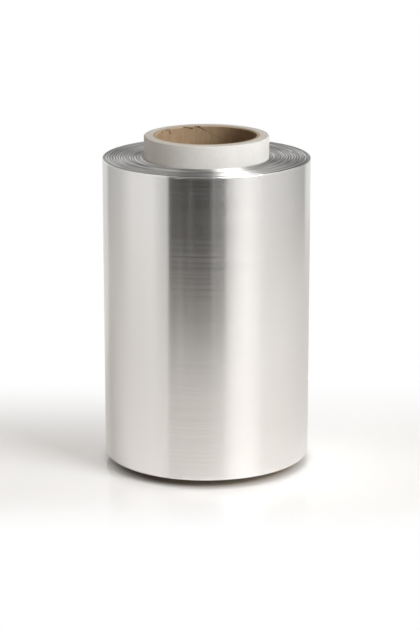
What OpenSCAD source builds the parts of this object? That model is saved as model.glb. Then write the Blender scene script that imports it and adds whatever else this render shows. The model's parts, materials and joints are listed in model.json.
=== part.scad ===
// Roll of household aluminium foil on a paper core, standing on the core's lower end.
// Millimetres, +Z up along the roll's axis, origin at the centre of the core's lower end.

/* [Foil] */
// Width of the foil strip, which is the roll's height as it stands
foil_w = 122.5; // [60:0.5:450]
// Thickness of the foil
foil_t = 0.042; // [0.01:0.001:0.06]
// Length of foil on the roll, in metres
foil_len = 72; // [30:1:150]
// Share of the wound ring that is metal, where the rest is air between the turns
wind_fill = 0.864; // [0.7:0.002:0.98]

/* [Winding] */
// Distance between the spiral lines that show on the ends, each for a bundle of turns
line_pitch = 1.04; // [0.8:0.02:2]
// Width of a spiral line where it opens at the end face
line_w = 0.5; // [0.2:0.05:0.7]
// Depth of a spiral line below the end face
line_depth = 0.35; // [0.1:0.05:0.8]
// Height of the step where the foil's free end lies on the turn below
tail_step = 0.12; // [0.04:0.02:0.4]
// Direction of the free end round the axis, in degrees from +X
tail_angle = -86; // [-180:1:180]
// Rounding of the foil's upper and lower rims
rim_round = 0.5; // [0.1:0.1:1]

/* [Core] */
// Diameter of the bore, which takes a spindle
core_id = 40; // [20:0.5:76]
// Thickness of the brown kraft liner round the bore
liner_t = 1.4; // [0.6:0.1:3]
// Thickness of the white board wall round the liner
board_t = 3.6; // [1.5:0.1:6]
// How far the core stands out of the foil at the upper end
proud_top = 8.7; // [2:0.1:40]
// How far the core stands out of the foil at the lower end, which is what the roll stands on
proud_bottom = 3.4; // [2:0.1:40]
// Rounding of the core's outer edges
core_round = 0.5; // [0.1:0.1:1]
// Rounding of the bore's edges
bore_round = 0.3; // [0.1:0.1:0.5]

/* [Hidden] */
$fn = 180;
mm_per_m = 1000;
// How far a cutting tool reaches past the face that it cuts
past = 0.1;

// Radii, from the bore outwards
bore_r = core_id / 2;
liner_r = bore_r + liner_t;
core_r = liner_r + board_t;
// The foil's cross-section, thickness by length, fills the ring from core_r to roll_r
roll_r = sqrt(pow(core_r, 2) + foil_t * foil_len * mm_per_m / (PI * wind_fill));

// Heights, from the floor up
foil_z = proud_bottom;
core_len = proud_bottom + foil_w + proud_top;

// The spiral lines are evenly spaced between the core and the rim
bands = round((roll_r - core_r) / line_pitch);
pitch = (roll_r - core_r) / bands;
lines = bands - 1;
first_line_r = core_r + pitch / 2;

// Half section of a round bar of radius r and height h, its two rims rounded
module bar_section(r, h, round_r) {
    square([r - round_r, h]);
    translate([0, round_r]) square([r, h - 2 * round_r]);
    for (z = [round_r, h - round_r]) translate([r - round_r, z]) circle(r = round_r);
}

// Half section of a bore of radius r, cut through a tube of height h, and the bevels at its ends
module bore_section(r, h, bevel_size) {
    translate([0, -past]) square([r, h + 2 * past]);
    for (z = [0, h]) translate([r, z]) bevel(bevel_size);
}

// Square on its corner, which bevels an edge by size
module bevel(size) {
    if (size > 0) polygon([[size, 0], [0, size], [-size, 0], [0, -size]]);
}

// One half turn, from +X round by +Y to -X
module front_half() {
    rotate_extrude(angle = 180) children();
}

// The other half turn, from -X round by -Y to +X, about a centre moved by growth / 2.
// A radius that is growth / 2 larger than the first half's meets it at -X and has
// grown by growth at +X, so that the two halves together are one turn of a spiral.
module back_half(growth) {
    translate([growth / 2, 0, 0]) rotate([0, 0, 180]) rotate_extrude(angle = 180) children();
}

// The wound foil as a plain bar, with the step of the free end at +X
module wound_bar() {
    front_r = roll_r - tail_step;
    front_half() bar_section(front_r, foil_w, rim_round);
    back_half(tail_step) bar_section(front_r + tail_step / 2, foil_w, rim_round);
}

// Section of one spiral line: a notch into both end faces, centred at radius r
module line_section(r) {
    mouth = line_w / 2 * (1 + past / line_depth);
    translate([r, 0]) polygon([[-mouth, -past], [mouth, -past], [0, line_depth]]);
    translate([r, foil_w]) polygon([[-mouth, past], [mouth, past], [0, -line_depth]]);
}

// The spiral that shows between the bundles of turns, on both ends
module spiral_lines() {
    for (i = [0 : lines - 1]) {
        line_r = first_line_r + i * pitch;
        front_half() line_section(line_r);
        back_half(pitch) line_section(line_r + pitch / 2);
    }
}

module foil_roll() {
    color("silver")
    translate([0, 0, foil_z]) rotate([0, 0, tail_angle])
    difference() {
        wound_bar();
        translate([0, 0, -past]) cylinder(h = foil_w + 2 * past, r = core_r);
        spiral_lines();
    }
}

module core_tube() {
    color("whitesmoke")
    rotate_extrude() difference() {
        bar_section(core_r, core_len, core_round);
        bore_section(liner_r, core_len, 0);
    }
}

module kraft_liner() {
    color("tan")
    rotate_extrude() difference() {
        square([liner_r, core_len]);
        bore_section(bore_r, core_len, bore_round);
    }
}

foil_roll();
core_tube();
kraft_liner();
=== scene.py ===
import json
import math

import bmesh
import bpy
import numpy as np
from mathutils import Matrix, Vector


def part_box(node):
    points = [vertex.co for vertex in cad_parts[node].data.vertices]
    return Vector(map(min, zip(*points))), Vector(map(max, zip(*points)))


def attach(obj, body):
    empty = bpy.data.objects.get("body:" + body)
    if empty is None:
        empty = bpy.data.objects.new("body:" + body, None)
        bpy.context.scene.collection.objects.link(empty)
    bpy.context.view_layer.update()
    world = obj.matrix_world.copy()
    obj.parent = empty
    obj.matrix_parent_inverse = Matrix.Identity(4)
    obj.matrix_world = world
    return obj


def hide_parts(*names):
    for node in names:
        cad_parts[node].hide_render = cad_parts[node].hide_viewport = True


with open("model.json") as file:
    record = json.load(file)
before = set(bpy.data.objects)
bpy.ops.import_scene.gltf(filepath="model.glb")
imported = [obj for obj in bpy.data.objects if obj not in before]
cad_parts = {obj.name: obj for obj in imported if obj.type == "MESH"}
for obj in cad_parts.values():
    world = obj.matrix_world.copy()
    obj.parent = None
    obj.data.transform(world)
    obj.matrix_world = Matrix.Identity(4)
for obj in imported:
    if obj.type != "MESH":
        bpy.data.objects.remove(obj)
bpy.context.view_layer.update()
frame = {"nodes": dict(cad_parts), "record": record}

MM = 0.001
BODY = "root"
RNG = np.random.default_rng(7)


# Sizes that the frame gives

def reach(node):
    """Largest distance of a CAD node from the roll's axis."""
    return max(math.hypot(v.co.x, v.co.y) for v in frame["nodes"][node].data.vertices)


def mount(name):
    """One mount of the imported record."""
    return next(m for m in frame["record"]["mounts"] if m["name"] == name)


FOIL_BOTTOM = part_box("foil_roll")[0].z
FOIL_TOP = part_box("foil_roll")[1].z
CORE_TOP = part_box("core_tube")[1].z
FOIL_R = reach("foil_roll")
CORE_R = reach("core_tube")
LINER_R = reach("kraft_liner")
BORE_R = mount("spindle_bore")["dims"]["r_mm"] * MM

# Sizes of the winding and the core, as in the part's source
LINE_PITCH = 1.04 * MM
LINE_W = 0.5 * MM
LINE_DEPTH = 0.35 * MM
TAIL_STEP = 0.12 * MM
TAIL_ANGLE = math.radians(-86)
RIM_ROUND = 0.5 * MM
CORE_ROUND = 0.5 * MM
BORE_BEVEL = 0.3 * MM

# The end faces are flat out to this distance from the axis, where the rounding of the rim starts
FLAT_R = FOIL_R - TAIL_STEP - RIM_ROUND

# Edges that turn by more than this are shaded as sharp
SHARP_ANGLE = math.radians(35)
# Corners closer together than this are joined
JOIN_DISTANCE = 0.0002 * MM


# Mesh helpers

def make_piece(name, verts, faces, materials, replaced, wear_and_shade=None):
    """A smooth mesh that stands for a CAD node and rides with the roll.

    The last argument gives how dark each corner is with wear and with painted shade, from 0 to 1, for
    the material to read."""
    mesh = bpy.data.meshes.new(name)
    mesh.from_pydata([tuple(map(float, v)) for v in verts], [], faces)
    if wear_and_shade:
        mesh.attributes.new("wear_and_shade", "FLOAT", "POINT").data.foreach_set("value", wear_and_shade)
    for material in materials:
        mesh.materials.append(material)
    tidy_mesh(mesh)
    piece = bpy.data.objects.new(name, mesh)
    bpy.context.scene.collection.objects.link(piece)
    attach(piece, BODY)
    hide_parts(replaced)
    return piece


def tidy_mesh(mesh):
    """Joins doubled corners, drops the faces that this closes, and points all faces outwards."""
    bm = bmesh.new()
    bm.from_mesh(mesh)
    bmesh.ops.remove_doubles(bm, verts=bm.verts, dist=JOIN_DISTANCE)
    bmesh.ops.recalc_face_normals(bm, faces=bm.faces)
    for face in bm.faces:
        face.smooth = True
    for edge in bm.edges:
        edge.smooth = edge.calc_face_angle(0) < SHARP_ANGLE
    bm.to_mesh(mesh)
    bm.free()


def arc(centre_r, centre_z, radius, start, end, steps):
    """Points (r, z) along an arc of a section, from one angle to another in degrees."""
    turns = np.radians(np.linspace(start, end, steps + 1))
    return [(centre_r + radius * math.cos(t), centre_z + radius * math.sin(t)) for t in turns]


def revolve(rows):
    """Corners and quads of a closed body, from a ring of corners for each point of its section."""
    count = len(rows[0])
    verts = [corner for row in rows for corner in row]
    faces = []
    for i in range(len(rows)):
        j = (i + 1) % len(rows)
        for k in range(count):
            n = (k + 1) % count
            faces.append((i * count + k, i * count + n, j * count + n, j * count + k))
    return verts, faces


def bump_at(x, middle, width):
    """Bell curve of height 1 round a middle."""
    return math.exp(-(((x - middle) / width) ** 2))


def angle_gap(a, b):
    """Difference of two angles, from -pi to pi."""
    return (a - b + math.pi) % (2 * math.pi) - math.pi


# The wound foil

FOIL_STEPS = 300
RIM_STEPS = 5
# The free end is laid down over this length, by this share of the step and along a curve of this
# power, in columns of corners at these shares of the length
END_LAID = 0.14 * MM
END_DROP = 0.1
END_POWER = 1.5
END_SHARES = (1, 0.75, 0.5, 0.25)
# The turns' edges lie up to twice this deep in the end face, which changes this often in a turn
RIDGE_HEIGHT = 0.03 * MM
RIDGES_A_TURN = 6
# The spiral lines are between these shares of their full depth, and change this often in a turn
LINE_SHARES = (0.4, 1.0)
LINE_CHANGES = 3
# Bands between the lines are numbered from this one, inside the core, and the line before band 0
# starts this share of the pitch outside it
FIRST_BAND = -2
FIRST_LINE = 0.5
# Rows of random values are longer than the spiral by these numbers of bands and of values
SPARE_BANDS = 5
SPARE_VALUES = 4
# Depth and width of the grooves where the foil meets the core, and just inside the rim, which the
# end faces' material fills with painted shade by their depth
CORE_GROOVE = (0.28 * MM, 0.9 * MM)
RIM_GROOVE = (0.22 * MM, 0.4 * MM)
# Places of the columns of corners in a band, as shares of the pitch, where 0 is a spiral line
BAND_PLACES = (0, 0.13, 0.24, 0.37, 0.5, 0.63, 0.76, 0.87)
# Small bends of the rim: angle from the front in degrees, width and height
RIM_BENDS = ((-14.5, 1.3 * MM, 0.1 * MM), (-23, 2.2 * MM, 0.03 * MM), (31, 3.0 * MM, 0.04 * MM))


def growth(turn):
    """How far a spiral has grown at an angle past the free end, from 0 to 1 in a turn.

    The first half turn is round the axis, and the second round a centre moved sideways."""
    return 0.0 if turn <= math.pi else (1 + math.cos(turn)) / 2


def ridge_heights(band_count):
    """Random heights of the turns' edges, by place in the band and by length along the spiral."""
    return RNG.standard_normal((len(BAND_PLACES), band_count * RIDGES_A_TURN + SPARE_VALUES))


def line_depths(band_count):
    """Random depths of the spiral lines, by length along the spiral."""
    return LINE_DEPTH * RNG.uniform(*LINE_SHARES, band_count * LINE_CHANGES + SPARE_VALUES)


def between(values, along):
    """Value of an evenly spaced row of values, read off between two of them."""
    low = int(along)
    share = along - low
    return values[low] * (1 - share) + values[low + 1] * share


def groove(shape, away):
    """Depth of a groove, given by its depth and width, at a distance from its middle."""
    depth, width = shape
    return depth * max(0, 1 - away / width)


def end_face_row(turn, bands, heights, depths):
    """Points (r, drop) of one end face at an angle, from the core out to the rim."""
    pitch = (FOIL_R - CORE_R) / bands
    points = []
    for band in range(FIRST_BAND, bands + 1):
        for i, place in enumerate(BAND_PLACES):
            r = CORE_R + (band + FIRST_LINE + place + growth(turn)) * pitch
            along = band - FIRST_BAND + turn / (2 * math.pi)
            height = between(heights[i], along * RIDGES_A_TURN)
            full = between(depths, (along + round(place)) * LINE_CHANGES)
            depth = full * max(0, 1 - min(place, 1 - place) * pitch / (LINE_W / 2))
            # The spiral line starts with band 0 and ends with the last but one, both at the free end
            started = band >= 0 or (band == -1 and turn == 2 * math.pi)
            ended = band > bands - 2 and not (band == bands - 1 and turn == 0)
            if not started or ended:
                depth = 0
            drop = depth + RIDGE_HEIGHT * (1 + math.tanh(height))
            if r <= CORE_R or r >= FLAT_R:
                drop = 0
            r = min(max(r, CORE_R), FLAT_R)
            core_groove = groove(CORE_GROOVE, r - CORE_R)
            rim_groove = groove(RIM_GROOVE, abs(FLAT_R - RIM_GROOVE[1] - r))
            points.append((r, max(drop, core_groove, rim_groove)))
    return points


# The upper rim has a fine burr, with rows of corners at these shares of its height, and the lower
# rim is rubbed in over a longer stretch
BURR = 0.05 * MM
BURR_HEIGHT = 0.45 * MM
BURR_SHARES = (0.35, 0.7, 1)
RUBBED_HEIGHT = 1.1 * MM
# Faces that look up or down more than this show the edges of the turns: on the end faces, and on
# the rounded rim, where the rest is as bright as the side
END_SLOPE = 0.5
RIM_SLOPE = 0.78


def rim_bend(angle):
    """How far the rim is bent at an angle round the axis."""
    return sum(
        height * bump_at(angle_gap(angle, math.radians(front - 90)) * FOIL_R, 0, width)
        for front, width, height in RIM_BENDS)


def foil_turns():
    """Angles of the foil's sections past the free end, with a few more where it is laid down."""
    turns = [2 * math.pi * k / FOIL_STEPS for k in range(FOIL_STEPS + 1)]
    return sorted(turns + [2 * math.pi - share * END_LAID / FOIL_R for share in END_SHARES])


def side_radius(turn):
    """Radius of the foil's side at an angle past the free end."""
    to_end = (2 * math.pi - turn) * FOIL_R / END_LAID
    laid = TAIL_STEP * END_DROP * max(0, 1 - to_end) ** END_POWER
    return FOIL_R - TAIL_STEP * (1 - growth(turn)) - laid


def foil_rows():
    """One closed section of the foil for each angle, from the free end round to it again.

    Also how many points of a section lie in one end face."""
    bands = round((FOIL_R - CORE_R) / LINE_PITCH)
    heights = {end: ridge_heights(bands + SPARE_BANDS) for end in ("top", "bottom")}
    depths = {end: line_depths(bands + SPARE_BANDS) for end in ("top", "bottom")}
    rows = []
    for turn in foil_turns():
        angle = TAIL_ANGLE + turn
        outer = side_radius(turn)
        bend = rim_bend(angle)
        face = {end: end_face_row(turn, bands, heights[end], depths[end]) for end in heights}
        top = [(r, FOIL_TOP - drop) for r, drop in face["top"]]
        rim_top = arc(outer - RIM_ROUND, FOIL_TOP - RIM_ROUND, RIM_ROUND, 90, 0, RIM_STEPS)
        rim_top = [
            (r + (bend + BURR) * i / RIM_STEPS, z + bend) for i, (r, z) in enumerate(rim_top)]
        burr = [
            (outer + (BURR + bend) * (1 - share) ** 2, FOIL_TOP - RIM_ROUND - share * BURR_HEIGHT)
            for share in BURR_SHARES]
        rim_low = arc(outer - RIM_ROUND, 0, RIM_ROUND, 0, -90, 2 * RIM_STEPS)
        rim_low = [
            (r, FOIL_BOTTOM + RUBBED_HEIGHT + z * RUBBED_HEIGHT / RIM_ROUND) for r, z in rim_low]
        low = [(r, FOIL_BOTTOM + drop) for r, drop in face["bottom"]]
        section = top + rim_top + burr + rim_low + low[::-1]
        rows.append([(r * math.cos(angle), r * math.sin(angle), z) for r, z in section])
    return rows, len(top)


def make_foil(side, ends):
    """The wound foil, with its side and rims in one material and its end faces in another."""
    rows, columns = foil_rows()
    points = len(rows[0])
    verts = [corner for row in rows for corner in row]
    faces = []
    for k in range(len(rows) - 1):
        here = k * points
        there = here + points
        for i in range(points):
            j = (i + 1) % points
            faces.append((here + i, here + j, there + j, there + i))
    # The free end: a narrow face between the last section and the first
    last = (len(rows) - 1) * points
    for i in range(columns - 1, points - columns):
        faces.append((last + i, last + i + 1, i + 1, i))
    piece = make_piece("foil_winding", verts, faces, [side, ends], "foil_roll")
    for face in piece.data.polygons:
        steepest = END_SLOPE if face.center.xy.length < FLAT_R else RIM_SLOPE
        face.material_index = int(abs(face.normal.z) > steepest)


# The core's white board

BOARD_STEPS = 200
ROUND_STEPS = 4
BOARD_PLIES = 8
# Between the plies the cut ends dip by this depth, times the least share and a random one up to 1
PLY_RELIEF = 0.03 * MM
LEAST_RELIEF = 0.3


def make_board(material):
    """The white board wall, with the edges of its plies in both end faces."""
    plies = np.linspace(LINER_R, CORE_R - CORE_ROUND, 2 * BOARD_PLIES + 1)[:-1]
    relief = [0] + [
        PLY_RELIEF * (LEAST_RELIEF + RNG.random()) * (i % 2) for i in range(1, len(plies))]
    low = [(r, d) for r, d in zip(plies, relief)]
    high = [(r, CORE_TOP - d) for r, d in zip(plies, relief)]
    side_low = arc(CORE_R - CORE_ROUND, CORE_ROUND, CORE_ROUND, -90, 0, ROUND_STEPS)
    side_high = arc(CORE_R - CORE_ROUND, CORE_TOP - CORE_ROUND, CORE_ROUND, 0, 90, ROUND_STEPS)
    section = low + side_low + side_high + high[::-1]
    turns = np.linspace(0, 2 * math.pi, BOARD_STEPS, endpoint=False)
    rows = [[(r * math.cos(t), r * math.sin(t), z) for t in turns] for r, z in section]
    verts, faces = revolve(rows)
    make_piece("core_board", verts, faces, [material], "core_tube")


# The brown liner

LINER_STEPS = 150
WALL_ROWS = 70
BORE_ROWS = 90
# How far the spiral seam runs along the bore in a turn, and its angle round the axis at the top
SEAM_LEAD = 72 * MM
SEAM_TOP = math.radians(101.2)
SEAM_DEPTH = 0.07 * MM
SEAM_W = 0.38 * MM
# Columns of corners on each side of the seam's middle, and the distance between them
SEAM_COLUMNS = 6
COLUMN_GAP = 0.09 * MM
# The seam gapes at the top and closes over the first depth, and its painted shade fades over the
# second
SEAM_OPEN = 2.4 * MM
SEAM_FADE = 4.5 * MM
# Shares of its painted shade: what fades, and what is only where it gapes
FADING_SHADE = 0.25
GAPING_SHADE = 0.75
# Nicks and cracks by the liner's upper edge: angle from the back in degrees, then in millimetres
# how far below the edge they are, and their width, height and depth
NICKS = (
    (64, 0.55, 0.45, 0.22, 0.3),
    (60.5, 0.4, 0.25, 0.2, 0.3),
    (55, 0.4, 0.3, 0.2, 0.3),
    (51.5, 0.3, 0.3, 0.2, 0.3),
    (48.3, 1.1, 0.17, 0.9, 0.4),
    (46, 2.0, 0.35, 0.2, 0.3),
    (26, 0.3, 0.55, 0.18, 0.2),
    (22.5, 0.5, 0.55, 0.18, 0.3),
    (19.5, 0.8, 0.5, 0.2, 0.3),
    (17.2, 0.9, 0.3, 0.32, 0.4),
    (13, 0.3, 0.4, 0.22, 0.3),
    (9.4, 0.4, 0.5, 0.35, 0.4),
)
# How dark a nick is from fraying and painted shade in its hollow, which stops at 1, and the
# shares of that and of its depth in the cut end
NICK_SHADE = 1.5
NICK_SHADE_ON_TOP = 0.25
NICK_DROP = 0.5
# The corners are close together over this stretch of the upper edge, in degrees from the back,
# and down to this depth in the bore, with evenly spaced rows from the next depth on
WORN_STRETCH = (5, 70)
WORN_STEPS = 140
WORN_DEPTH = 3 * MM
WORN_ROWS = 18
BORE_FROM = 3.6 * MM


def liner_twist(z):
    """Angle by which the liner's corners turn with depth, so that a line of them is the seam."""
    return -2 * math.pi * (CORE_TOP - z) / SEAM_LEAD


def liner_turns():
    """Angles of the liner's corners at the top, closer together at the seam and the nicks."""
    turns = list(np.linspace(0, 2 * math.pi, LINER_STEPS, endpoint=False))
    columns = range(-SEAM_COLUMNS, SEAM_COLUMNS + 1)
    turns += [SEAM_TOP + column * COLUMN_GAP / BORE_R for column in columns]
    turns += [math.pi / 2 + math.radians(back) for back in np.linspace(*WORN_STRETCH, WORN_STEPS)]
    return sorted(set(round(t % (2 * math.pi), 5) for t in turns))


def nick_push(angle, z):
    """How far the nicks push the bore's wall outwards, and how dark fraying and painted shade make it
    there, up to 1.
    """
    push = fraying_and_shade = 0
    for back, below, width, height, depth in NICKS:
        across = angle_gap(angle, math.pi / 2 + math.radians(back)) * BORE_R
        share = bump_at(across, 0, width * MM) * bump_at(CORE_TOP - z, below * MM, height * MM)
        push += depth * MM * share
        fraying_and_shade += share
    on_top = NICK_SHADE_ON_TOP if z == CORE_TOP else 1
    return push, on_top * min(NICK_SHADE * fraying_and_shade, 1)


def make_liner(material):
    """The kraft liner, with the spiral seam of its innermost ply and its worn upper edge."""
    depths = np.concatenate([
        np.linspace(0, WORN_DEPTH, WORN_ROWS)[1:], np.linspace(BORE_FROM, CORE_TOP, BORE_ROWS)])
    bore = [(BORE_R, CORE_TOP - d) for d in depths if BORE_BEVEL < d < CORE_TOP - BORE_BEVEL]
    section = (
        [(LINER_R, z) for z in np.linspace(0, CORE_TOP, WALL_ROWS)]
        + [(BORE_R + BORE_BEVEL, CORE_TOP), (BORE_R, CORE_TOP - BORE_BEVEL)] + bore
        + [(BORE_R, BORE_BEVEL), (BORE_R + BORE_BEVEL, 0)])
    turns = liner_turns()
    rows = []
    wear_and_shade = []
    for r, z in section:
        row = []
        for t in turns:
            angle = t + liner_twist(z)
            seam = nick = dark = 0
            if r < (BORE_R + LINER_R) / 2:
                seam = bump_at(angle_gap(t, SEAM_TOP) * BORE_R, 0, SEAM_W)
                nick, fraying_and_shade = nick_push(angle, z)
                gape = 0 if z == CORE_TOP else bump_at(CORE_TOP - z, 0, SEAM_OPEN)
                fade = bump_at(CORE_TOP - z, 0, SEAM_FADE)
                # Darkness of the frayed nicks, with painted shade in their hollows, and painted shade
                # in the seam where it gapes
                dark = max(fraying_and_shade, seam * (FADING_SHADE * fade + GAPING_SHADE * gape))
            out = r + SEAM_DEPTH * seam ** 2 + nick
            drop = NICK_DROP * nick if z == CORE_TOP else 0
            row.append((out * math.cos(angle), out * math.sin(angle), z - drop))
            wear_and_shade.append(dark)
        rows.append(row)
    verts, faces = revolve(rows)
    make_piece("kraft_ply", verts, faces, [material], "kraft_liner", wear_and_shade)


# Material helpers

WHITE = (1, 1, 1, 1)


def node_adder(tree):
    """A function that adds a node to a tree, with its inputs set or linked."""

    def add(kind, inputs=None, **settings):
        made = tree.nodes.new(kind)
        for key, value in settings.items():
            setattr(made, key, value)
        for key, value in (inputs or {}).items():
            if isinstance(value, bpy.types.NodeSocket):
                tree.links.new(value, made.inputs[key])
            else:
                made.inputs[key].default_value = value
        return made

    return add


def new_material(name):
    """An empty node material, with a function that adds nodes to it."""
    material = bpy.data.materials.new(name)
    material.use_nodes = True
    material.node_tree.nodes.clear()
    return material, node_adder(material.node_tree)


def axis_parts(add, kind):
    """X, Y and Z of one kind of texture coordinates."""
    place = add("ShaderNodeTexCoord")
    parts = add("ShaderNodeSeparateXYZ", {"Vector": place.outputs[kind]})
    return [parts.outputs[axis] for axis in "XYZ"]


def math_node(add, operation, *values, clamp=False):
    """Output of one arithmetic node."""
    made = add("ShaderNodeMath", operation=operation, use_clamp=clamp)
    for i, value in enumerate(values):
        if isinstance(value, bpy.types.NodeSocket):
            made.id_data.links.new(value, made.inputs[i])
        else:
            made.inputs[i].default_value = value
    return made.outputs["Value"]


def round_axis(add):
    """Angle round the roll's axis, distance from it and height, as node outputs."""
    x, y, z = axis_parts(add, "Object")
    squares = [math_node(add, "MULTIPLY", side, side) for side in (x, y)]
    across = math_node(add, "SQRT", math_node(add, "ADD", *squares))
    return math_node(add, "ARCTAN2", y, x), across, z


def noise(add, vector, detail, roughness=0.5):
    """Noise with cells of size 1, so that the scale of its vector sets how many there are."""
    made = add("ShaderNodeTexNoise", {
        "Vector": vector, "Scale": 1.0, "Detail": detail, "Roughness": roughness})
    return made.outputs["Fac"]


def cell_noise(add, cells, detail, roughness=0.5):
    """Noise with a number of cells in a metre along each axis."""
    place = add("ShaderNodeTexCoord")
    mapping = add("ShaderNodeMapping", {"Vector": place.outputs["Object"], "Scale": cells})
    return noise(add, mapping.outputs["Vector"], detail, roughness)


def bumped(add, height, strength, distance):
    """The surface's direction, tilted by a height."""
    made = add("ShaderNodeBump", {"Height": height, "Strength": strength, "Distance": distance})
    return made.outputs["Normal"]


def ramp(add, factor, stops):
    """Colour ramp with stops given as (place, grey or colour)."""
    made = add("ShaderNodeValToRGB", {"Fac": factor})
    elements = made.color_ramp.elements
    while len(elements) > 1:
        elements.remove(elements[-1])
    for i, (place, colour) in enumerate(stops):
        element = elements[0] if i == 0 else elements.new(place)
        element.position = place
        rgb = (colour,) * 3 if isinstance(colour, (int, float)) else colour
        element.color = (*rgb, 1)
    return made.outputs["Color"]


def blend_at(add, value, start, full):
    """Share from 0 to 1 as a value passes from a start to a full mark."""
    made = add("ShaderNodeMapRange", {
        "Value": value, "From Min": start, "From Max": full}, interpolation_type="SMOOTHSTEP")
    return made.outputs["Result"]


def mix_colours(add, share, first, second):
    """Mix of two colours, given as node outputs or as values."""
    return add("ShaderNodeMix", {0: share, 6: first, 7: second}, data_type="RGBA").outputs[2]


def brushed_metal(add, colour, roughness, normal):
    """Surface of a metal whose fine lines run round the roll's axis."""
    tangent = add("ShaderNodeTangent", direction_type="RADIAL", axis="Z")
    shader = add("ShaderNodeBsdfPrincipled", {
        "Base Color": colour, "Metallic": 1.0, "Roughness": roughness,
        "Anisotropic": 1.0, "Anisotropic Rotation": 0.25,
        "Tangent": tangent.outputs["Tangent"], "Normal": normal})
    add("ShaderNodeOutputMaterial", {"Surface": shader.outputs["BSDF"]})


def matt_paper(add, colour, roughness, specular, normal):
    """Surface of paper or board, which hardly shines."""
    shader = add("ShaderNodeBsdfPrincipled", {
        "Base Color": colour, "Roughness": roughness, "Specular IOR Level": specular,
        "Normal": normal})
    add("ShaderNodeOutputMaterial", {"Surface": shader.outputs["BSDF"]})


# Materials

FOIL_COLOUR = (0.865, 0.845, 0.82)
# Least and most roughness, and the levels of the rolling lines' noise at which they are reached
FOIL_ROUGHNESS = (0.160, 0.202)
LINE_LEVELS = (0.35, 0.65)
LINE_RELIEF = 0.0015 * MM
# Rolling lines run round the roll: noise cells in a radian, and in a metre of the roll's width
LINES_ROUND = 0.4
LINES_ACROSS = 3700


def foil_material():
    """Bright rolled foil: lines round the roll blur what it mirrors up and down, not sideways."""
    material, add = new_material("rolled_foil")
    angle, _, height = round_axis(add)
    place = add("ShaderNodeCombineXYZ", {
        "X": math_node(add, "MULTIPLY", angle, LINES_ROUND),
        "Y": math_node(add, "MULTIPLY", height, LINES_ACROSS)})
    lines = noise(add, place.outputs["Vector"], detail=1.0, roughness=0.6)
    rough = add("ShaderNodeMapRange", {
        "Value": lines, "From Min": LINE_LEVELS[0], "From Max": LINE_LEVELS[1],
        "To Min": FOIL_ROUGHNESS[0], "To Max": FOIL_ROUGHNESS[1]}).outputs["Result"]
    normal = bumped(add, lines, strength=1.0, distance=LINE_RELIEF)
    brushed_metal(add, (*FOIL_COLOUR, 1), rough, normal)
    return material


# Tones of the end faces by the level of the rings' noise, and the painted shade of the grooves
# between the turns
END_TONES = ((0.42, (0.355, 0.349, 0.339)), (0.58, (0.93, 0.92, 0.90)))
END_PAINTED_SHADE = (0.09, 0.087, 0.082)
END_ROUGHNESS = 0.5
END_RELIEF = 0.08 * MM
# Rings of the end faces, coarse and fine: noise cells in a metre from the axis outwards, a shift
# that makes the two unlike, and share of the mix
COARSE_RINGS = (1200, 0, 0.4)
FINE_RINGS = (3000, 5, 0.6)
# Round the axis, a ring fades in and out as along a circle of this radius in noise cells
RING_CIRCLE = 1.3
# Painted shade in the grooves deepens with depth by this power, below 1 so that the shallow ones show
GROOVE_POWER = 0.8
# Painted shade: the edges of the turns darken between these distances from the axis, at the
# rounded rim, by this share
RIM_SHADE = (FOIL_R - RIM_ROUND - 0.3 * MM, FOIL_R - RIM_ROUND)
RIM_DARKENING = 0.6


def ring_noise(add, angle, across, rings):
    """Share of the mix that one set of rings gives, thin ones that run round the end face."""
    cells, shift, share = rings
    spiral = math_node(add, "MULTIPLY", angle, LINE_PITCH / (2 * math.pi))
    wound = math_node(add, "SUBTRACT", across, spiral)
    sine, cosine = (
        math_node(add, "MULTIPLY", math_node(add, kind, angle), RING_CIRCLE)
        for kind in ("SINE", "COSINE"))
    place = add("ShaderNodeCombineXYZ", {
        "X": math_node(add, "MULTIPLY", wound, cells),
        "Y": sine,
        "Z": math_node(add, "ADD", cosine, shift)})
    level = noise(add, place.outputs["Vector"], detail=2.0, roughness=0.6)
    return math_node(add, "MULTIPLY", level, share)


def foil_end_material():
    """The stacked edges of the turns: bright and dark rings that scatter light from the axis out."""
    material, add = new_material("foil_edges")
    angle, across, height = round_axis(add)
    rings = [ring_noise(add, angle, across, rings) for rings in (COARSE_RINGS, FINE_RINGS)]
    mixed = math_node(add, "ADD", *rings)
    colour = ramp(add, mixed, END_TONES)
    # Painted shade: the end faces are darker with depth in the grooves between the turns and where
    # the foil meets the core
    below_top = math_node(add, "SUBTRACT", FOIL_TOP, height)
    above_bottom = math_node(add, "SUBTRACT", height, FOIL_BOTTOM)
    depth = math_node(add, "MINIMUM", below_top, above_bottom)
    depth = math_node(add, "DIVIDE", depth, LINE_DEPTH, clamp=True)
    painted_groove_shade = math_node(add, "POWER", depth, GROOVE_POWER)
    colour = mix_colours(add, painted_groove_shade, colour, (*END_PAINTED_SHADE, 1))
    # Painted shade on the edges of the turns at the rounded rim
    painted_rim_shade = math_node(add, "MULTIPLY", blend_at(add, across, *RIM_SHADE), RIM_DARKENING)
    colour = mix_colours(add, painted_rim_shade, colour, (*END_PAINTED_SHADE, 1))
    normal = bumped(add, mixed, strength=0.5, distance=END_RELIEF)
    brushed_metal(add, colour, END_ROUGHNESS, normal)
    return material


# Faces of board and paper start to show their cut tone where they look up or down by the first
# share, and show nothing else from the second on
CUT_FROM, CUT_FULL = 0.35, 0.7

# Tones by the level of the mottle, and noise cells in a metre along each axis
BOARD_TONES = ((0.3, (0.70, 0.69, 0.67)), (0.65, (0.77, 0.76, 0.74)))
BOARD_CUT = (0.85, 0.83, 0.79)
BOARD_FIBRES = (900, 900, 500)
BOARD_CLOUDS = (90, 90, 50)
BOARD_RELIEF = 0.03 * MM


def cut_end(add):
    """1 on faces that look up or down, and 0 on upright ones."""
    upward = axis_parts(add, "Normal")[2]
    return blend_at(add, math_node(add, "ABSOLUTE", upward), CUT_FROM, CUT_FULL)


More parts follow.
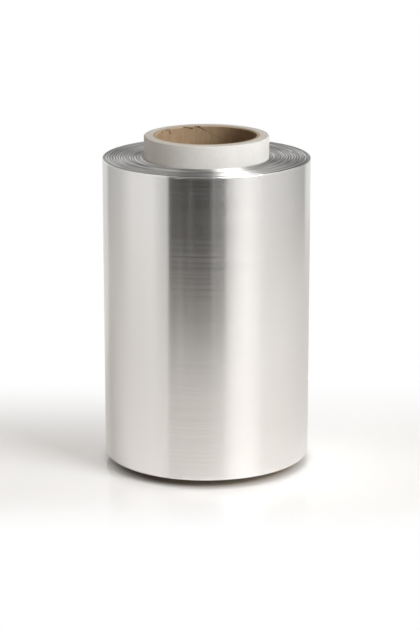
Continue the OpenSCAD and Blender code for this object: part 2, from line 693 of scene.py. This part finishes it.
def board_material():
    """Matt white paperboard with a faint fibre mottle."""
    material, add = new_material("white_board")
    fibre = cell_noise(add, BOARD_FIBRES, detail=4.0, roughness=0.6)
    cloud = cell_noise(add, BOARD_CLOUDS, detail=2.0)
    halves = [math_node(add, "MULTIPLY", part, 0.5) for part in (fibre, cloud)]
    colour = ramp(add, math_node(add, "ADD", *halves), BOARD_TONES)
    colour = mix_colours(add, cut_end(add), colour, (*BOARD_CUT, 1))
    normal = bumped(add, fibre, strength=0.3, distance=BOARD_RELIEF)
    matt_paper(add, colour, roughness=0.75, specular=0.3, normal=normal)
    return material


KRAFT_TONES = ((0.3, (0.355, 0.245, 0.148)), (0.7, (0.455, 0.33, 0.212)))
KRAFT_CUT = (0.60, 0.48, 0.36)
KRAFT_WEAR_AND_SHADE = (0.05, 0.032, 0.018)
KRAFT_FIBRES = (700, 700, 260)
KRAFT_RELIEF = 0.05 * MM


def kraft_material():
    """Matt brown kraft paper with fibres, dark where it is frayed and with painted shade in its nicks
    and seam.
    """
    material, add = new_material("kraft_paper")
    fibre = cell_noise(add, KRAFT_FIBRES, detail=5.0, roughness=0.65)
    colour = ramp(add, fibre, KRAFT_TONES)
    colour = mix_colours(add, cut_end(add), colour, (*KRAFT_CUT, 1))
    wear_and_shade = add("ShaderNodeAttribute", attribute_name="wear_and_shade").outputs["Fac"]
    # Darkened where the liner is frayed, with painted shade in the nicks' hollows and the gaping seam
    colour = mix_colours(add, wear_and_shade, colour, (*KRAFT_WEAR_AND_SHADE, 1))
    normal = bumped(add, fibre, strength=0.5, distance=KRAFT_RELIEF)
    matt_paper(add, colour, roughness=0.85, specular=0.2, normal=normal)
    return material


# Studio

FLOOR_R = 4.0
# The foil mirrors only a round part of the floor, which reaches further behind the roll than
# before it
TABLE_R = 0.35
TABLE_BACK = 0.12
TABLE_STEPS = 128
FLOOR_COLOUR = (0.92, 0.92, 0.92)
# Painted shadow: under the roll the floor is darker and warmer and has no lift, and past this
# distance from the axis it is a little lifted
FLOOR_PAINTED_SHADOW = (0.62, 0.53, 0.44)
FLOOR_LIFT = 0.22
# Share of the lift that the foil mirrors
LIFT_MIRRORED = 0.8
LIFT_FROM, LIFT_FULL = FOIL_R - 6 * MM, FOIL_R + 2 * MM
# The floor turns into plain white between these distances: from the roll's axis, behind it and in
# front of it
WHITE_FROM, WHITE_FULL = 0.05, 0.28
# Painted light: the white behind the roll washes out the back half of the roll's shadow
BACK_FROM, BACK_FULL = 0.0, 0.11
FRONT_FROM, FRONT_FULL = 0.045, 0.09
# Light that comes from all round, and from straight above
AMBIENT = (0.17, 0.155, 0.135)
ZENITH = (0.41, 0.355, 0.29)
# What the foil mirrors near the horizon, as stops of a direction and a level: directions are in
# degrees, 0 at the camera and + to the right
HORIZON = (
    (-180, 0.76), (-143, 0.71), (-139, 0.45), (-110, 0.58), (-90, 0.81), (-62, 0.83), (-50, 0.62),
    (-43, 0.56), (-42, 0.08), (-36, 0.05), (-30, 0.025), (-22, 0.025), (-20, 0.06), (-16.5, 0.06),
    (-14, 0.025), (-7, 0.015), (-5, 0.035), (3, 0.035), (6, 0.14), (19.5, 0.185), (22, 0.40),
    (34, 0.72), (45, 0.90), (60, 0.82), (74, 0.74), (100, 0.62), (120, 0.50), (138, 0.44),
    (143, 0.76), (180, 0.84),
)
# What the end faces mirror a little above the horizon
LOW = (
    (-180, 1.0), (-172, 1.05), (-145, 1.05), (-138, 0.6), (-110, 0.58), (-90, 0.81), (-62, 0.83),
    (-50, 0.62), (-43, 0.56), (-42, 0.06), (-6, 0.06), (3, 0.07), (6, 0.14), (19.5, 0.185),
    (22, 0.40), (34, 0.72), (45, 0.90), (60, 0.82), (74, 0.74), (100, 0.62), (120, 0.50),
    (140, 0.42), (171, 0.44), (176, 0.85), (180, 1.0),
)
# The same higher up, where a soft box hangs at the right
UPPER = (
    (-180, 0.6), (-120, 0.6), (-60, 1.2), (-46, 0.7), (-42, 0.06), (-6, 0.08), (8, 0.65),
    (18, 1.5), (25, 7.5), (34, 12.0), (60, 12.0), (71, 1.6), (110, 1.0), (150, 1.0), (180, 0.7),
)
# Still higher, where a white ceiling lights the rim
CEILING = (
    (-180, 0.3), (-110, 0.8), (-60, 1.2), (-48, 1.1), (-42, 1.05), (14, 1.05), (25, 7.5),
    (34, 12.0), (60, 12.0), (71, 1.6), (110, 0.8), (180, 0.3),
)
OVERHEAD = 0.15
# Each layer takes over from the one below it between these heights of a direction, from -1 straight
# down to 1 straight up
LOW_FROM, LOW_FULL = -0.02, 0.05
UPPER_FROM, UPPER_FULL = 0.42, 0.52
CEILING_FROM, CEILING_FULL = 0.64, 0.70
OVERHEAD_FROM, OVERHEAD_FULL = 0.86, 0.95
ZENITH_FROM, ZENITH_FULL = 0.75, 0.9


def panels(add, share, stops):
    """Levels round the horizon, from stops given in degrees."""
    return ramp(add, share, [((degrees + 180) / 360, level) for degrees, level in stops])


def seen_directly(add, ray):
    """1 for what the camera sees, through glass too, and 0 for all other light."""
    return math_node(
        add, "MAXIMUM", ray.outputs["Is Camera Ray"], ray.outputs["Is Transmission Ray"])


def studio_world():
    """White behind the roll for the camera, and a studio of panels for what the foil mirrors."""
    world = bpy.data.worlds.new("studio")
    bpy.context.scene.world = world
    world.use_nodes = True
    world.node_tree.nodes.clear()
    add = node_adder(world.node_tree)
    right, behind, height = axis_parts(add, "Generated")
    before = math_node(add, "MULTIPLY", behind, -1)
    turn = math_node(add, "ARCTAN2", right, before)
    share = math_node(add, "ADD", math_node(add, "DIVIDE", turn, 2 * math.pi), 0.5)
    mirrored = panels(add, share, HORIZON)
    for start, full, layer in (
            (LOW_FROM, LOW_FULL, panels(add, share, LOW)),
            (UPPER_FROM, UPPER_FULL, panels(add, share, UPPER)),
            (CEILING_FROM, CEILING_FULL, panels(add, share, CEILING)),
            (OVERHEAD_FROM, OVERHEAD_FULL, (OVERHEAD, OVERHEAD, OVERHEAD, 1))):
        mirrored = mix_colours(add, blend_at(add, height, start, full), mirrored, layer)
    above = blend_at(add, height, ZENITH_FROM, ZENITH_FULL)
    light = mix_colours(add, above, (*AMBIENT, 1), (*ZENITH, 1))
    ray = add("ShaderNodeLightPath")
    lit = mix_colours(add, ray.outputs["Is Glossy Ray"], light, mirrored)
    final = mix_colours(add, seen_directly(add, ray), lit, WHITE)
    background = add("ShaderNodeBackground", {"Color": final, "Strength": 1.0})
    add("ShaderNodeOutputWorld", {"Surface": background.outputs["Background"]})


def floor_material():
    """Pale floor with a faint gloss, which turns into a plain white backdrop away from the roll."""
    material, add = new_material("floor")
    across = round_axis(add)[1]
    # Painted shadow under the roll: a darker, warmer colour, and no lift or white
    away = blend_at(add, across, LIFT_FROM, LIFT_FULL)
    colour = mix_colours(add, away, (*FLOOR_PAINTED_SHADOW, 1), (*FLOOR_COLOUR, 1))
    shader = add("ShaderNodeBsdfPrincipled", {
        "Base Color": colour, "Roughness": 0.07, "Specular IOR Level": 0.25})
    ray = add("ShaderNodeLightPath")
    seen = seen_directly(add, ray)
    mirrored = math_node(add, "MULTIPLY", ray.outputs["Is Glossy Ray"], LIFT_MIRRORED)
    lift = math_node(add, "MULTIPLY", math_node(add, "MAXIMUM", seen, mirrored), FLOOR_LIFT)
    lift = math_node(add, "MULTIPLY", lift, away)
    glow = add("ShaderNodeEmission", {"Color": WHITE, "Strength": lift})
    near = add("ShaderNodeAddShader", {0: shader.outputs["BSDF"], 1: glow.outputs["Emission"]})
    behind = axis_parts(add, "Object")[1]
    before = math_node(add, "MULTIPLY", behind, -1)
    # Plain white in front of the roll, and behind it, where it is painted light over the back half of
    # the roll's shadow
    ends = math_node(
        add, "MAXIMUM", blend_at(add, behind, BACK_FROM, BACK_FULL),
        blend_at(add, before, FRONT_FROM, FRONT_FULL))
    ends = math_node(add, "MULTIPLY", ends, away)
    far = math_node(add, "MAXIMUM", blend_at(add, across, WHITE_FROM, WHITE_FULL), ends)
    white = add("ShaderNodeEmission", {"Color": WHITE, "Strength": 1.0})
    floor = add("ShaderNodeMixShader", {
        0: math_node(add, "MULTIPLY", far, seen),
        1: near.outputs["Shader"],
        2: white.outputs["Emission"]})
    add("ShaderNodeOutputMaterial", {"Surface": floor.outputs["Shader"]})
    return material


def make_floor():
    """A round table top, and a wide sheet round it that the foil doesn't mirror."""
    material = floor_material()
    turns = [2 * math.pi * k / TABLE_STEPS for k in range(TABLE_STEPS)]
    circle = [(math.cos(t), math.sin(t)) for t in turns]
    inner = [(x * TABLE_R, y * TABLE_R + TABLE_BACK, 0) for x, y in circle]
    outer = [(x * FLOOR_R, y * FLOOR_R, 0) for x, y in circle]
    disc = [list(range(TABLE_STEPS))]
    ring = []
    for k in range(TABLE_STEPS):
        n = (k + 1) % TABLE_STEPS
        ring.append((k, TABLE_STEPS + k, TABLE_STEPS + n, n))
    for name, verts, faces, mirrored in (
            ("table_top", inner, disc, True), ("floor", inner + outer, ring, False)):
        mesh = bpy.data.meshes.new(name)
        mesh.from_pydata(verts, [], faces)
        mesh.materials.append(material)
        sheet = bpy.data.objects.new(name, mesh)
        bpy.context.scene.collection.objects.link(sheet)
        sheet.visible_glossy = mirrored


# The lamps are this far from the point on the roll's axis that they face, which is this high
LAMP_DISTANCE = 1.2
LAMP_AIM = 0.07
WARM = (1.0, 0.92, 0.84)


def area_lamp(name, turn, rise, wide, high, level, aim=LAMP_AIM, colour=(1, 1, 1)):
    """A soft lamp that lights but isn't mirrored.

    Its direction is in degrees, to the right of the camera and up, from a point on the roll's axis
    at the height aim. At level 1 it alone lights a surface that faces it so that it shows its own
    colour."""
    light = bpy.data.lights.new(name, "AREA")
    light.shape = "RECTANGLE"
    light.size = wide
    light.size_y = high
    light.color = colour
    light.energy = level * (math.pi * LAMP_DISTANCE) ** 2
    lamp = bpy.data.objects.new(name, light)
    bpy.context.scene.collection.objects.link(lamp)
    turn = math.radians(turn)
    rise = math.radians(rise)
    flat = math.cos(rise)
    toward = Vector((math.sin(turn) * flat, -math.cos(turn) * flat, math.sin(rise)))
    lamp.location = Vector((0, 0, aim)) + LAMP_DISTANCE * toward
    lamp.rotation_euler = (-toward).to_track_quat("-Z", "Y").to_euler()
    lamp.visible_glossy = False


def make_lamps():
    """A key lamp from the right, a faint one beside it, and a low bounce of its light on the core."""
    area_lamp("key_lamp", turn=51, rise=26, wide=0.55, high=0.55, level=0.81)
    area_lamp("side_lamp", turn=86, rise=40, wide=0.8, high=0.8, level=0.05)
    area_lamp(
        "left_bounce", turn=-50, rise=0.5, wide=0.6, high=0.035, level=0.12,
        aim=CORE_TOP, colour=WARM)


# Camera, fitted to the photograph: metres and degrees, and millimetres for the lens and sensor

CAMERA_DISTANCE = 0.8865
CAMERA_HEIGHT = 0.2991
CAMERA_PITCH = 15.08
CAMERA_YAW = -0.088
LENS = 128.87
SENSOR = 36
NEAREST = 0.01
FURTHEST = 50


def make_camera():
    """The photograph's view of the roll."""
    data = bpy.data.cameras.new("camera")
    data.lens = LENS
    data.sensor_width = SENSOR
    data.clip_start = NEAREST
    data.clip_end = FURTHEST
    camera = bpy.data.objects.new("camera", data)
    bpy.context.scene.collection.objects.link(camera)
    camera.location = (0, -CAMERA_DISTANCE, CAMERA_HEIGHT)
    camera.rotation_euler = (math.radians(90 - CAMERA_PITCH), 0, math.radians(CAMERA_YAW))
    bpy.context.scene.camera = camera


make_foil(foil_material(), foil_end_material())
make_board(board_material())
make_liner(kraft_material())
make_floor()
make_lamps()
studio_world()
make_camera()
bpy.context.scene.view_settings.view_transform = "Standard"
